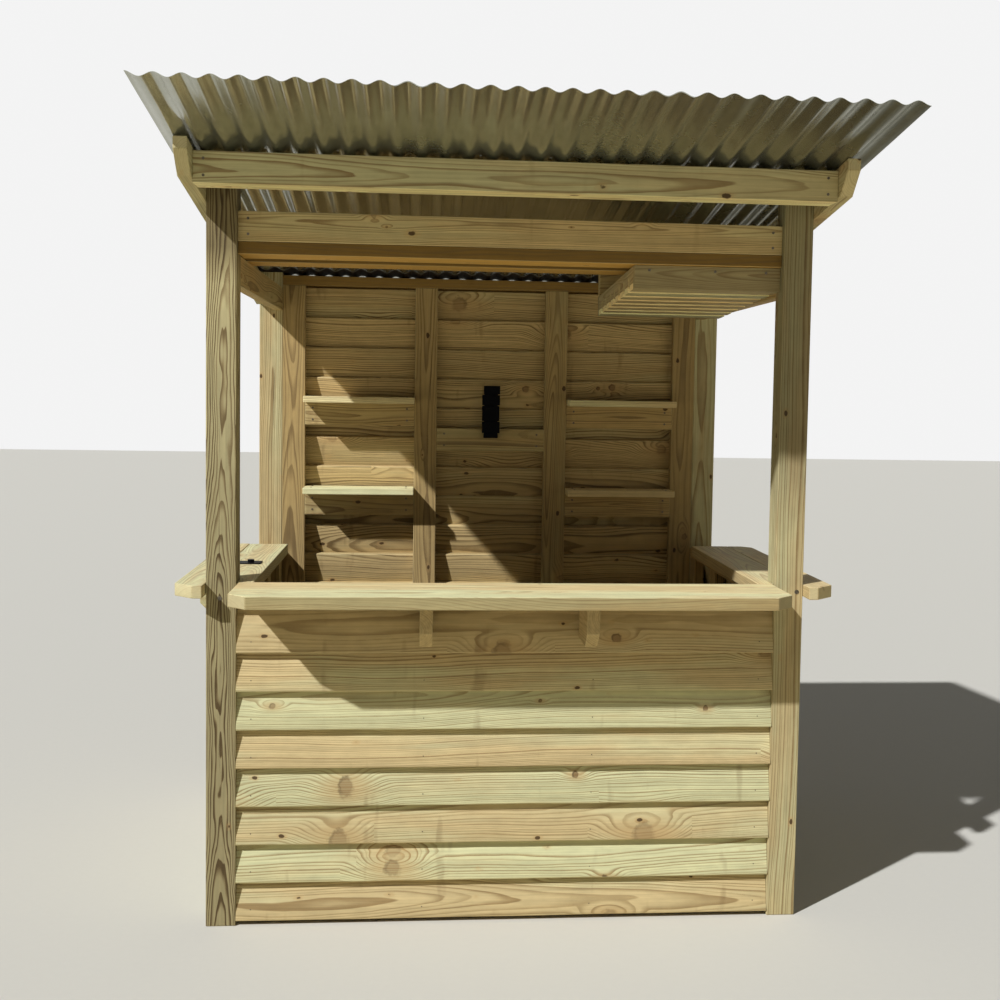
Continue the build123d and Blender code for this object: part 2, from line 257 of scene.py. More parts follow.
def wobble(place, scale, detail=1.0):
    """Noise about zero along one line."""
    inputs = {"W": place, "Scale": scale, "Detail": detail}
    return put(place.tree, "ShaderNodeTexNoise", inputs, noise_dimensions="1D") - 0.5


def dice(value, output="Value"):
    """A random number or colour for each whole value."""
    return put(value.tree, "ShaderNodeTexWhiteNoise", {"W": value}, output, noise_dimensions="1D")


def blend(share, a, b, how="MIX"):
    """Two colours mixed by share."""
    a, b = (value if isinstance(value, Wire) else (*value, 1.0)[:4] for value in (a, b))
    return put(tree_of(share, a, b), "ShaderNodeMix", {0: share, 6: a, 7: b}, 2, data_type="RGBA", blend_type=how)


def shaded(colour_wire, tone):
    """A colour times a tone."""
    return blend(1.0, colour_wire, put(tone.tree, "ShaderNodeCombineColor", (tone, tone, tone)), "MULTIPLY")


def read(tree, name, output="Fac"):
    """A named attribute of the mesh."""
    return put(tree, "ShaderNodeAttribute", output=output, attribute_name=name)


def object_place(tree):
    return put(tree, "ShaderNodeTexCoord", output="Object")


def new_material(name):
    """A material, its tree and its surface shader."""
    material = bpy.data.materials.new(name)
    material.use_nodes = True
    tree = material.node_tree
    surface = next(node for node in tree.nodes if node.type == "BSDF_PRINCIPLED")
    return material, tree, surface


def relief(height, distance, strength):
    """The normal of a surface with fine relief."""
    return put(height.tree, "ShaderNodeBump", {"Height": height, "Distance": distance, "Strength": strength})


# Treated pine

KNOT_SPACING = 0.33
KNOT_LAYERS = 3
# A branch starts this thick at the pith and widens by this share of its length
BRANCH_START = 0.0028
BRANCH_FLARE = 0.115
# How close the rings inside a knot lie, in radians per metre
KNOT_EYES = 2600.0
# Noise in the wood: its scale along the grain and across it, its detail and its roughness
RAGGED = (90.0, 90.0, 2.0)
UNEVEN = (1.9, 15.0, 2.0)
RIPPLE = (9.0, 60.0, 1.0)
FIBRE = (9.0, 620.0, 3.0, 0.6)
STREAK = (1.6, 110.0, 3.0, 0.6)
PATCH = (1.2, 9.0, 3.0, 0.6)
MOTTLE = (13.0, 34.0, 3.0, 0.6)
SPLIT = (3.4, 250.0, 1.0)
STAIN_RUNS = (17.0, 17.0, 1.9)
PIN_SPREAD = (6.0, 10.0, 10.0)
CHECK_WIDE = 0.0013
WOOD_RELIEF = 0.0008


def knot_field(along, cross, ragged, seed, layer, share):
    """One layer of branches: their hearts, rims and warm halos, and how far they push the rings out."""
    cell_place = along.times(1 / KNOT_SPACING, seed.times(57.0 + 13.0 * layer, layer / KNOT_LAYERS))
    shift, turn, size = split(dice(calc("FLOOR", cell_place) + 31.7 * layer, "Color"))
    dx = (calc("FRACT", cell_place) - shift.times(0.5, 0.25)) * KNOT_SPACING
    angle = turn * FULL_TURN
    cos, sin = calc("COSINE", angle), calc("SINE", angle)
    _, y, z = split(cross)
    out = y.times(cos, z * sin)
    side = z * cos - y * sin
    radius = calc("MAXIMUM", out, 0.0).times(BRANCH_FLARE, BRANCH_START) * size.times(1.0, 0.35)
    far = size_of(xyz(dx * 0.8, side))
    gap = far / radius * ragged
    here = rise(out, 0.0, 0.006) * calc("LESS_THAN", calc("FRACT", size * 7.31), share)
    here_deep = here * size.times(-0.72, 1.05)
    heart = rise(gap, 0.75, 1.1, 1.0, 0.0) * here_deep
    crescent = rise(dx.times(sin, side * cos) / radius, -0.7, 0.6, 0.15, 1.0)
    rim = rise(gap, 0.6, 0.95) * rise(gap, 1.0, 1.35, 1.0, 0.0) * crescent * here_deep
    long_gap = size_of(xyz(dx * 0.38, side)) / radius
    halo = rise(long_gap, 0.6, 2.6, 1.0, 0.0) * here
    push = rise(long_gap, 0.3, 3.6, 1.0, 0.0) * here * (radius * 1.4)
    return heart, rim, halo, push, calc("SINE", far * KNOT_EYES)


def pine(name, ring=0.0065, knots=0.3, checks=0.0, heartwood=0.0, grey=0.0, wander=0.08, contrast=1.0,
         peach=0.5, cut_light=0.5, taper=0.008, ripples=0.0016, deep=0.15, swell=0.009, stains=0.0,
         pins=0.05):
    """Treated pine: growth rings about a wandering pith, branches that become knots, and tinted patches."""
    material, tree, surface = new_material(name)
    paint = looks()
    grain, seed = read(tree, "grain", "Vector"), read(tree, "board")
    along, y, z = split(grain)
    track = seed.times(43.0, along)
    cross = xyz(0.0, y + wobble(track, 0.55, 2.0) * wander, z + wobble(track + 71.3, 0.7, 2.0) * wander)
    radius = pith_far = size_of(cross)
    spot = vector_calc("ADD", grain, xyz(seed * 91.0))

    ragged = stretched(spot, *RAGGED).times(0.9, 0.55)
    heart = rim = halo = eyes = 0.0
    for layer in range(KNOT_LAYERS):
        knot, edge, glow, push, eye = knot_field(along, cross, ragged, seed, layer, knots)
        radius = radius - push
        heart, rim, halo = (calc("MAXIMUM", *pair) for pair in ((knot, heart), (edge, rim), (glow, halo)))
        eyes = eye.times(knot, eyes)

    radius = stretched(spot, *UNEVEN).times(swell, radius)
    radius = stretched(spot, *RIPPLE).times(ripples, radius)
    radius = along.times(taper, radius)
    turns = wobble(seed.times(17.0, radius), 70.0).times(1.6, radius / ring)
    year = calc("FRACT", turns)
    vigour = dice(seed.times(977.0, calc("FLOOR", turns)))
    late = rise(year, 0.42, 0.90) * rise(year, 0.93, 1.0, 1.0, 0.0) * vigour.times(0.85, 0.25)

    fibre = stretched(spot, *FIBRE)
    patch = stretched(spot, *PATCH)
    warm = rise(rise(patch, 0.34, 0.66).times(0.7, seed.times(1.15, peach - 0.85)), 0.0, 1.0)
    base = blend(warm, paint.green_pine, paint.peach_pine)
    base = blend(read(tree, "warm") + heartwood, base, paint.heartwood)
    if grey:
        base = blend(grey, base, paint.weathered)
    line = calc("MINIMUM", late * (0.72 * contrast), 0.92)
    base = shaded(blend(line, base, paint.late_wood), line.times(-deep, 1.0))
    streaks = stretched(spot, *STREAK).times(0.60, 0.70)
    mottle = stretched(spot, *MOTTLE).times(0.36, 0.82)
    base = shaded(base, streaks * fibre.times(0.34, 0.83) * mottle)
    base = blend(halo * 0.5, base, paint.halo)
    base = blend(heart * eyes.times(0.13, 0.74), base, paint.knot)
    base = blend(rim * 0.8, base, paint.bark)
    base = blend(read(tree, "cut_end") * cut_light, base, paint.cut_pine)
    base = blend(read(tree, "arris") * 0.18, base, paint.cut_pine)
    if pins:
        dots = vector_calc("MULTIPLY", spot, PIN_SPREAD)
        near = put(tree, "ShaderNodeTexVoronoi", {"Vector": dots, "Scale": 1.0}, "Distance") * ragged
        base = blend(rise(near, pins * 0.9, pins * 2.2, 0.4, 0.0), base, paint.halo)
        base = blend(rise(near, pins * 0.75, pins * 1.05, 0.92, 0.0), base, paint.bark)
    if checks:
        around = calc("ARCTAN2", *split(cross)[1:])
        lean = wobble(track, 3.0).times(0.5, seed * 6.0)
        off = calc("ABSOLUTE", calc("SINE", (around - lean) * 1.5)) * pith_far
        open_by = rise(wobble(track + 9.1, 2.1, 2.0), 0.02, 0.2, 0.0, CHECK_WIDE * checks)
        base = blend(calc("LESS_THAN", off, open_by) * 0.8, base, paint.bark)
    if stains:
        place = object_place(tree)
        run = cloud(vector_calc("MULTIPLY", place, STAIN_RUNS), 1.0, 2.0, 0.6)
        run = rise(run, 0.62, 0.76) * cloud(place, 14.0)
        base = blend(run * stains, base, paint.knot)
        split_line = stretched(spot, *SPLIT)
        base = blend(rise(split_line, 0.80, 0.84) * 0.7, base, paint.bark)
    # The shade attribute holds each piece's tone and also painted light and shade from lumber's levels; the face
    # attribute darkens the slats' wide faces as painted shade
    base = shaded(base, read(tree, "shade") * (1.0 - read(tree, "painted_face_shade")))
    height = late.times(0.5, fibre * 0.55) - rim * 0.8
    feed(surface, {"Base Color": base, "Roughness": late.times(-0.10, fibre.times(0.16, 0.64)),
                   "Normal": relief(height, WOOD_RELIEF, 0.45), "Specular IOR Level": 0.25})
    return material


# How each kind of timber on the bar differs from the plain one
TIMBER = {
    "post_pine": dict(ring=0.0062, knots=0.24, checks=1.2, grey=0.34, contrast=1.15, peach=0.10, cut_light=0.3,
                      wander=0.035, taper=0.004, ripples=0.0022, deep=0.3, stains=0.5, pins=0.06),
    "dark_post_pine": dict(ring=0.0037, knots=0.0, checks=0.9, grey=0.66, contrast=2.0, peach=0.30,
                           cut_light=0.1, taper=0.02, wander=0.05, ripples=0.0038, deep=0.75, swell=0.022,
                           stains=0.5),
    "roof_frame_pine": dict(ring=0.0048, knots=0.5, grey=0.10, contrast=1.15, peach=0.45, taper=0.012,
                            wander=0.05, heartwood=0.20, ripples=0.0022, deep=0.28, stains=0.5, pins=0.085),
    "frame_pine": dict(knots=0.38, checks=0.8, heartwood=0.50, contrast=1.25, peach=0.75, cut_light=0.3,
                       deep=0.35, stains=0.5, pins=0.075),
    "heart_pine": dict(knots=0.2, heartwood=1.0, contrast=1.1, peach=0.9, cut_light=0.2),
    "board_pine": dict(ring=0.0052, knots=0.75, contrast=1.2, peach=0.40, taper=0.01, wander=0.06, deep=0.22,
                       stains=0.6, pins=0.06),
    "back_board_pine": dict(ring=0.0052, knots=0.62, contrast=1.6, heartwood=0.34, peach=0.70, taper=0.01,
                            deep=0.45, stains=0.7, pins=0.075),
    "counter_pine": dict(ring=0.0052, knots=0.18, pins=0.04, contrast=0.85, peach=0.34, cut_light=0.6),
    "shelf_pine": dict(ring=0.0048, knots=0.1, contrast=0.85, peach=0.8, cut_light=0.4),
    "bracket_pine": dict(knots=0.0, pins=0.0, contrast=0.9, peach=0.7, cut_light=0.0, heartwood=0.15),
    "rack_pine": dict(ring=0.004, knots=0.0, pins=0.0, contrast=0.9, peach=0.5, cut_light=0.3),
}


def timber(kind):
    """The material of a kind of timber, made when it is first asked for."""
    return bpy.data.materials.get(kind) or pine(kind, **TIMBER[kind])


# Metal and plastic

# Scale of the film and the runs on zinc, across the roof, down it and up
FILM = (5.0, 1.6, 5.0)
RUNS = (70.0, 2.2, 70.0)
CRYSTALS = 85.0
CRYSTAL_WARP = (0.012, 0.012, 0.012)
# How far the painted shade under the sheets reaches in front of the back plate and behind it
PAINTED_SHADE_FRONT = 0.04
PAINTED_SHADE_BACK = 0.02


def galvanised_steel():
    """Zinc coated steel: crystals, a warm dull film, faint runs down the slope, a painted darker reflection towards
    the right of the underside, and painted shade under the sheets over the back plate.
    """
    material, tree, surface = new_material("galvanised_steel")
    paint = looks()
    place = object_place(tree)
    x, y, _ = split(place)
    warped = vector_calc("MULTIPLY_ADD", cloud(place, 60.0, output=1), CRYSTAL_WARP, place)
    facet = split(put(tree, "ShaderNodeTexVoronoi", {"Vector": warped, "Scale": CRYSTALS}, "Color"))[0]
    film = rise(cloud(vector_calc("MULTIPLY", place, FILM), 1.0, 4.0, 0.6), 0.32, 0.68)
    runs = cloud(vector_calc("MULTIPLY", place, RUNS), 1.0, 3.0, 0.6)
    under = calc("LESS_THAN", split(put(tree, "ShaderNodeNewGeometry", output="True Normal"))[2], 0.0)
    # Painted reflection: the underside is painted darker, with more film, towards the right, for a dark reflection
    painted_dark_reflection = rise(x, 0.2, 0.95, 0.0, 0.3) * under
    tone = facet.times(0.08, runs.times(0.40, 0.86)) * (1.0 - painted_dark_reflection)
    film = painted_dark_reflection.times(2.0, film)
    # Painted shade: the sheets' underside over the back plate is painted dark and rougher, for the shade where they
    # rest on the plate
    plate_front, plate_back = (corner.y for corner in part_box("back_wall_plate"))
    behind = rise(y, plate_front - PAINTED_SHADE_FRONT, plate_front) * rise(y, plate_back, plate_back + PAINTED_SHADE_BACK, 1.0, 0.0)
    painted_shade = behind * under
    base = blend(film.times(0.45, 0.22), paint.zinc, paint.zinc_film)
    base = shaded(blend(painted_shade * 0.93, base, paint.bark), tone)
    gloss = painted_shade.times(0.5, facet.times(0.015, film.times(0.10, 0.165)))
    feed(surface, {"Base Color": base, "Metallic": 0.87, "Roughness": gloss})
    return material


def black_plastic():
    """Matt black moulding, with a fine grain and dusty patches."""
    material, tree, surface = new_material("black_plastic")
    place = object_place(tree)
    dust = rise(cloud(place, 28.0, 4.0, 0.65), 0.48, 0.75)
    feed(surface, {"Base Color": blend(dust * 0.1, looks().black, looks().dust),
                   "Roughness": dust.times(0.2, 0.45), "Specular IOR Level": 0.03,
                   "Normal": relief(cloud(place, 900.0), 0.0003, 0.3)})
    return material


def coated_steel():
    """The dull coating of deck screws and nails."""
    material, tree, surface = new_material("coated_steel")
    worn = rise(cloud(object_place(tree), 420.0, 3.0), 0.45, 0.7)
    feed(surface, {"Base Color": blend(worn, looks().steel, looks().worn_steel), "Metallic": 0.7,
                   "Roughness": worn.times(-0.15, 0.52)})
    return material


def bright_steel():
    """Bright steel of roofing screws."""
    material, tree, surface = new_material("bright_steel")
    scuff = cloud(object_place(tree), 350.0, 3.0)
    feed(surface, {"Base Color": blend(scuff, looks().bright, looks().scuffed), "Metallic": 1.0,
                   "Roughness": scuff.times(0.2, 0.16)})
    return material


def finish(maker):
    """A metal or plastic material, made when it is first asked for."""
    return bpy.data.materials.get(maker.__name__) or maker()


# Meshes

# Edges sharper than these are eased
LUMBER_SHARP = math.radians(20)
FITTING_SHARP = math.radians(40)
# A face is a cut end where its normal lies this much along the grain
CUT_END = 0.35
# How far the heart of the tree swings to either side of where it is asked for
HEART_LEAN = 0.6
# How fast the bow and the twist change along a piece, the noise that each reads, and what sets pieces apart
BOW_RATE, BOW_LANE = 1.4, 0.3
TWIST_RATE, TWIST_LANE = 1.1, 8.3
PIECES_APART = 50


def show(name, mesh, material, *nodes, slot=None):
    """Puts a finished mesh in the scene as a piece that rides on the bar and stands for CAD nodes."""
    piece = bpy.data.objects.new(name, mesh)
    bpy.context.scene.collection.objects.link(piece)
    mesh.materials.clear()
    mesh.materials.append(material)
    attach(piece, BODY)
    if nodes:
        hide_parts(*nodes)


def show_edited(name, mesh, material, node):
    """Shows an edited copy of a CAD node, with its faces in an order that is the same in each run."""
    mesh.verts.index_update()
    ranked = sorted(mesh.faces, key=lambda face: [vertex.index for vertex in face.verts])
    rank = {face: i for i, face in enumerate(ranked)}
    mesh.faces.sort(key=rank.get)
    made = bpy.data.meshes.new(name)
    mesh.to_mesh(made)
    mesh.free()
    show(name, made, material, node)


def merged_copy(node):
    """A copy of a CAD node, with its triangles joined up and its flat faces whole."""
    copy = bmesh.new()
    copy.from_mesh(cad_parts[node].data)
    bmesh.ops.remove_doubles(copy, verts=copy.verts[:], dist=MERGE)
    bmesh.ops.dissolve_limit(copy, angle_limit=FLAT, verts=copy.verts[:], edges=copy.edges[:])
    return copy


def ease_edges(mesh, ease, sharp_angle):
    """Eases the edges of a mesh that are sharper than an angle, and returns the new faces."""
    sharp = [edge for edge in mesh.edges if edge.is_manifold and edge.calc_face_angle() > sharp_angle]
    return bmesh.ops.bevel(mesh, geom=sharp, offset=ease, segments=2, profile=0.5, affect="EDGES",
                           clamp_overlap=True)["faces"]


def islands(mesh):
    """The separate solids in a mesh, each as a list of its vertices."""
    left, found = set(mesh.verts), []
    while left:
        start = min(left, key=lambda vertex: vertex.index)
        left.discard(start)
        group, waiting = [start], [start]
        while waiting:
            for edge in waiting.pop().link_edges:
                for vertex in edge.verts:
                    if vertex in left:
                        left.discard(vertex)
                        group.append(vertex)
                        waiting.append(vertex)
        found.append(group)
    return found


def corners(points):
    """Lowest and highest corner round some points."""
    return [Vector([pick(values) for values in zip(*points)]) for pick in (min, max)]


def solid_boxes(node):
    """The boxes of a node's separate solids, from low and front to high and back."""
    copy = merged_copy(node)
    copy.verts.index_update()
    boxes = [corners([vertex.co for vertex in group]) for group in islands(copy)]
    copy.free()
    return sorted(boxes, key=lambda box: (round(box[0].z, 4), round(box[0].y, 4), round(box[0].x, 4)))


def cut_lengths(mesh, along, step):
    """Slices lumber across its grain, so that it can bend."""
    reach = [vertex.co.dot(along) for vertex in mesh.verts]
    low, high = min(reach), max(reach)
    count = max(1, round((high - low) / step))
    for i in range(1, count):
        at = low + (high - low) * i / count
        geometry = mesh.verts[:] + mesh.edges[:] + mesh.faces[:]
        bmesh.ops.bisect_plane(mesh, geom=geometry, plane_co=along * at, plane_no=along, dist=MERGE)


def at_level(levels, height):
    """The tone and warmth at a height, between levels that are given as (height, tone, warmth)."""
    heights, *columns = zip(*levels)
    return [float(numpy.interp(height, heights, column)) for column in columns]


def lumber(node, along, face, kind, pith=(0.02, 0.07), lean=0.0, ease=None, shade=(0.92, 1.08),
           levels=((0.0, 1.0, 0.0),), under=None, sides=None):
    """A CAD node as real lumber: eased edges, a slight bow, and its own grain in each length.

    along is the way the grain runs and face is square to the wide face. pith is how far the heart
    of the tree lies from the middle of the piece, and lean turns that way from face towards the edge.
    shade is the range of tones of the lengths, and levels says how tone and warmth change with height.
    under is a lighter tone painted on the faces that look down, a painted glow of the light from the floor, and
    sides a tone and warmth for all but the top.
    """
    chance = random.Random(f"{node}0")
    size = sizes()
    low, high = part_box(node)
    # Painted light: the faces that look down are painted lighter, for the light that comes up from the floor
    if under:
        levels = (low.z, under, 0.0), (low.z + size.edge_ease, 1.0, 0.0)
    if sides:
        levels = (high.z - size.edge_ease, *sides), (high.z, 1.0, 0.0)
    mesh = merged_copy(node)
    layers = mesh.faces.layers.float
    arris, cut = layers.new("arris"), layers.new("cut_end")
    for part in ease_edges(mesh, ease or size.edge_ease, LUMBER_SHARP):
        part[arris] = 1.0
    along, face = Vector(along).normalized(), Vector(face).normalized()
    side = face.cross(along)
    cut_lengths(mesh, along, size.slice_long)
    mesh.normal_update()
    for part in mesh.faces:
        if abs(part.normal.dot(along)) > CUT_END and not part[arris]:
            part[cut] = 1.0
    grain = mesh.verts.layers.float_vector.new("grain")
    board, shades, warm = (mesh.verts.layers.float.new(name) for name in ("board", "shade", "warm"))
    mesh.verts.index_update()
    for group in islands(mesh):
        low, high = corners([vertex.co for vertex in group])
        centre = (low + high) / 2
        tone = chance.random()
        shading = chance.uniform(*shade)
        far = chance.uniform(*pith) * chance.choice((-1, 1))
        turn = lean + chance.uniform(-HEART_LEAN, HEART_LEAN)
        heart = Vector((chance.uniform(0, LONG_SHIFT), far * math.cos(turn), far * math.sin(turn)))
        for vertex in group:
            out = vertex.co - centre
            vertex[grain] = Vector((out.dot(along), out.dot(face), out.dot(side))) + heart
            vertex[board] = tone
            # The tone from levels goes into the shade attribute, so it carries painted shadow and painted light as
            # well as the piece's own tone
            level_tone, vertex[warm] = at_level(levels, vertex.co.z)
            vertex[shades] = shading * level_tone
            bend = noise.noise((vertex[grain].x * BOW_RATE, tone * PIECES_APART, BOW_LANE))
            twist = noise.noise((vertex[grain].x * TWIST_RATE, tone * PIECES_APART, TWIST_LANE))
            bent = vertex.co + (face * bend + side * twist) * size.bow
            vertex.co = [min(max(bent[i], cad_box[0][i]), cad_box[1][i]) for i in range(3)]
    show_edited(f"{node}_timber", mesh, timber(kind), node)


# Geometry Nodes

VECTOR = "FLOAT_VECTOR"


def geo(tree, kind, inputs=(), output=0, **settings):
    """Adds a geometry node."""
    return put(tree, f"GeometryNode{kind}", inputs, output, **settings)


def new_tree(name, **inputs):
    """A geometry tree with named inputs, given as a tuple of names for each type, and the wires from them."""
    tree = bpy.data.node_groups.new(name, "GeometryNodeTree")
    for kind, labels in inputs.items():
        for label in labels:
            tree.interface.new_socket(label, in_out="INPUT", socket_type=f"NodeSocket{kind}")
    tree.interface.new_socket("Geometry", in_out="OUTPUT", socket_type="NodeSocketGeometry")
    return tree, {socket.name: Wire(socket) for socket in tree.nodes.new("NodeGroupInput").outputs}


def end_tree(geometry, material):
    """Ends a tree with real geometry and its material, and returns the tree."""
    real = geo(geometry.tree, "RealizeInstances", {"Geometry": geometry})
    dressed = geo(geometry.tree, "SetMaterial", {"Geometry": real, "Material": material})
    put(geometry.tree, "NodeGroupOutput", (dressed,))
    return geometry.tree


def grow(name, maker, values, material, *nodes, slot=None, points=None):
    """Shows what a maker's tree gives with these input values, as a plain mesh."""
    tree = bpy.data.node_groups.get(maker.__name__) or maker()
    base = points or bpy.data.meshes.new(f"{name}_base")
    holder = bpy.data.objects.new(f"{name}_holder", base)
    bpy.context.scene.collection.objects.link(holder)
    modifier = holder.modifiers.new("grow", "NODES")
    modifier.node_group = tree
    values["Material"] = material
    for item in tree.interface.items_tree:
        if item.in_out == "INPUT" and item.name in values:
            modifier[item.identifier] = values[item.name]
    graph = bpy.context.evaluated_depsgraph_get()
    mesh = bpy.data.meshes.new_from_object(holder.evaluated_get(graph), preserve_all_data_layers=True,
                                           depsgraph=graph)
    mesh.name = name
    holder.modifiers.remove(modifier)
    bpy.data.objects.remove(holder)
    if not mesh.polygons:
        raise RuntimeError(f"{name} came out empty")
    show(name, mesh, material, *nodes, slot=slot)


def joined(*parts):
    """Several geometries as one."""
    node = parts[0].tree.nodes.new("GeometryNodeJoinGeometry")
    for part in parts:
        part.tree.links.new(part.socket, node.inputs[0])
    return Wire(node.outputs[0])


def thickened(sheet, offset):
    """A sheet with its copy pushed out by an offset, closed all round."""
    inputs = {"Mesh": sheet, "Offset": offset, "Offset Scale": 1.0, "Individual": False}
    return joined(geo(sheet.tree, "ExtrudeMesh", inputs), geo(sheet.tree, "FlipFaces", {"Mesh": sheet}))


def moved(geometry, place, turn=None):
    """A geometry in another place, and turned if a turn is given."""
    return geo(geometry.tree, "Transform", {"Geometry": geometry, "Translation": place, "Rotation": turn})


def pushed(geometry, offset):
    """A geometry with each point moved by an offset."""
    return geo(geometry.tree, "SetPosition", {"Geometry": geometry, "Offset": offset})


def store(geometry, name, value, domain="POINT", kind="FLOAT"):
    """Stores a named attribute."""
    inputs = {"Geometry": geometry, "Name": name, "Value": value}
    return geo(geometry.tree, "StoreNamedAttribute", inputs, data_type=kind, domain=domain)


def recall(tree, name, kind="FLOAT"):
    """Reads a named attribute."""
    return geo(tree, "InputNamedAttribute", {"Name": name}, data_type=kind)


def chance_of(tree, low, high, seed, kind="FLOAT"):
    """A random value for each board."""
    first, output = (0, 0) if kind == VECTOR else (2, 1)
    inputs = {first: low, first + 1: high, "ID": geo(tree, "InputIndex"), "Seed": seed}
    return put(tree, "FunctionNodeRandomValue", inputs, output, data_type=kind)


BOARD_SLICES = 34
ROUND_POINTS = 2
SHADE_SEED = 71.0
# A face is a cut end or a wide face where its normal lies this much that way, and an eased edge where its
# normal lies less than FLAT_FACE along any axis
END_FACE = 0.7
WIDE_FACE = 0.9
FLAT_FACE = 0.98
# How fast the bend and the ripple change along a board, and how far apart the boards are in them
BEND_RATE = 2.0
RIPPLE_RATE = 4.5
BOARDS_APART = 60.0


def board_row():
    """A row of boards with rounded edges, each leaning the same way a step further on."""
    tree, given = new_tree(
        "board_row", Int=("Count", "Seed"), Vector=("Step", "Place"), Material=("Material",),
        Float=("Length", "Width", "Thickness", "Edge Radius", "Lean", "Turn", "Bow", "Wave", "Pith Near",
               "Pith Far", "Shade Low", "Shade High", "Wide Face Painted Shade"))
    seed, width, thick = given["Seed"], given["Width"], given["Thickness"]
    half = given["Length"] * 0.5
    line = geo(tree, "CurvePrimitiveLine", {"Start": xyz(half * -1.0), "End": xyz(half)})
    line = geo(tree, "ResampleCurve", {"Curve": line, "Count": BOARD_SLICES})
    section = geo(tree, "CurvePrimitiveQuadrilateral", (thick, width))
    rounding = {"Curve": section, "Count": ROUND_POINTS, "Radius": given["Edge Radius"]}
    section = geo(tree, "FilletCurve", rounding, mode="POLY")
    board = geo(tree, "CurveToMesh", {"Curve": line, "Profile Curve": section, "Fill Caps": True})
    nx, ny, nz = (calc("ABSOLUTE", part) for part in split(geo(tree, "InputNormal")))
    flattest = calc("MAXIMUM", nx, calc("MAXIMUM", ny, nz))
    board = store(board, "cut_end", calc("GREATER_THAN", nx, END_FACE), "FACE")
    board = store(board, "arris", calc("LESS_THAN", flattest, FLAT_FACE), "FACE")
    # Painted shade: the wide faces of the boards are painted darker by the given share
    board = store(board, "painted_face_shade", calc("GREATER_THAN", ny, WIDE_FACE) * given["Wide Face Painted Shade"], "FACE")
    board = store(board, "grain", geo(tree, "InputPosition"), kind=VECTOR)
    board = moved(board, xyz(0.0, thick * -0.5, width * -0.5))
    row = geo(tree, "MeshLine", {"Count": given["Count"], "Offset": given["Step"]})
    inputs = {"Points": row, "Instance": board, "Rotation": xyz(given["Lean"])}
    boards = geo(tree, "InstanceOnPoints", inputs)
    boards = store(boards, "board", chance_of(tree, 0.0, 1.0, seed), "INSTANCE")
    shade = chance_of(tree, given["Shade Low"], given["Shade High"], seed + SHADE_SEED)
    boards = store(boards, "shade", shade, "INSTANCE")
    near = xyz(-LONG_SHIFT, given["Pith Near"], width * -0.8)
    far = xyz(LONG_SHIFT, given["Pith Far"], width * 0.8)
    boards = store(boards, "heart", chance_of(tree, near, far, seed, VECTOR), "INSTANCE", VECTOR)
    boards = geo(tree, "RealizeInstances", {"Geometry": boards})
    grain = vector_calc("ADD", recall(tree, "grain", VECTOR), recall(tree, "heart", VECTOR))
    boards = store(boards, "grain", grain, kind=VECTOR)
    boards = geo(tree, "RemoveAttribute", {"Geometry": boards, "Name": "heart"})
    x = split(recall(tree, "grain", VECTOR))[0]
    board_place = recall(tree, "board") * BOARDS_APART
    bend = wobble(x + board_place, BEND_RATE) * given["Bow"]
    ripple = wobble(x - board_place, RIPPLE_RATE, 2.0) * given["Wave"]
    boards = moved(pushed(boards, xyz(0.0, bend, ripple)), given["Place"], xyz(0.0, 0.0, given["Turn"]))
    return end_tree(boards, given["Material"])


WAVE_POINTS = 14
SHEET_ROWS = 40
SHEET_SHARP = math.radians(40)
# The scale of the dents, and how far back from the front edge they reach their full depth
DENT_SCALE = 2.6
DENT_FREE = 0.25


def corrugated_sheet():
    """A corrugated sheet with real thickness and plumb ends, bent a little out of true."""
    tree, given = new_tree(
        "corrugated_sheet", Int=("Waves",), Vector=("Place",), Material=("Material",),
        Float=("Pitch", "Phase", "Height", "Length", "Thickness", "Fall", "Dents"))
    waves, pitch, long = given["Waves"], given["Pitch"], given["Length"]
    width = waves * pitch
    sheet = geo(tree, "MeshGrid", (width, long, waves.times(WAVE_POINTS, 1.0), SHEET_ROWS))
    sheet = moved(sheet, xyz(width * 0.5, long * 0.5))
    x, y, _ = split(geo(tree, "InputPosition"))
    turn = x / pitch + given["Phase"]
    up = (1.0 - calc("COSINE", turn * FULL_TURN)) * (given["Height"] * 0.5)
    down = calc("TANGENT", given["Fall"]) * y
    dent = (cloud(xyz(x, y), DENT_SCALE, 1.0) - 0.5) * given["Dents"] * rise(y, 0.0, DENT_FREE)
    sheet = pushed(sheet, xyz(0.0, 0.0, up - down + dent))
    sheet = thickened(sheet, xyz(0.0, 0.0, given["Thickness"]))
    sheet = geo(tree, "MergeByDistance", {"Geometry": sheet, "Distance": MERGE})
    sheet = moved(sheet, given["Place"])
    sheet = geo(tree, "SetShadeSmooth", {"Geometry": sheet, "Shade Smooth": True})
    corner = calc("GREATER_THAN", geo(tree, "InputMeshEdgeAngle"), SHEET_SHARP)
    inputs = {"Geometry": sheet, "Selection": corner, "Shade Smooth": False}
    sheet = geo(tree, "SetShadeSmooth", inputs, domain="EDGE")
    return end_tree(sheet, given["Material"])


DECK_SIDES = 14
HEX_SIDES = 6
WASHER_SIDES = 16
STAR_POINTS = 6
# Parts of a head as shares of its radius, and a washer's thickness as a share of the height
STAR_INNER = 0.32
STAR_OUTER = 0.52
HEX_RADIUS = 0.55
WASHER_HIGH = 0.4


def head_tree(name):
    """A tree for screw heads on points, its radius and its height."""
    tree, given = new_tree(name, Geometry=("Points",), Float=("Radius", "Height"), Material=("Material",))
    return tree, given, given["Radius"], given["Height"]


